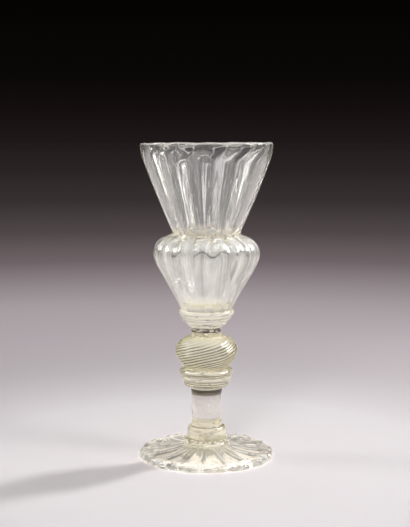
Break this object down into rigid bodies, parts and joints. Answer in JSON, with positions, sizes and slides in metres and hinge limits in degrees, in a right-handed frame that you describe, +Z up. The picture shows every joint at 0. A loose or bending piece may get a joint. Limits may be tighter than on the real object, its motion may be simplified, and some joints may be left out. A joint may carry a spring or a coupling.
{
  "type": "stemmed glass",
  "caption": "Footed drinking glass of clear glass with a waisted ribbed bowl, ringed collars, a twisted knop, a short stem and a ribbed foot.",
  "frame": {"origin": "centre of the foot on the surface it stands on", "axes": "+Z up along the axis of the glass, from foot to lip; -Y is the front; all sides are alike apart from the ribs"},
  "size_m": [0.0712, 0.0712, 0.1651],
  "materials": {
    "clear_glass": "fire-polished, faintly grey-straw clear glass with ribs, fine striations and small seeds",
    "thick_glass": "fire-polished solid glass, straw-tinted where it is thick, with tooling marks and small seeds"
  },
  "bodies": {
    "root": {"foot": "clear_glass", "foot_pad": "thick_glass", "annular_knop": "thick_glass", "stem_collar": "thick_glass", "stem": "thick_glass", "stem_cuff": "thick_glass", "lower_step": "thick_glass", "lower_ring": "thick_glass", "lower_merese": "thick_glass", "twisted_knop": "thick_glass", "knop_neck": "thick_glass", "upper_step": "thick_glass", "upper_ring": "thick_glass", "upper_merese": "thick_glass", "bowl": "clear_glass"}
  },
  "joints": []
}
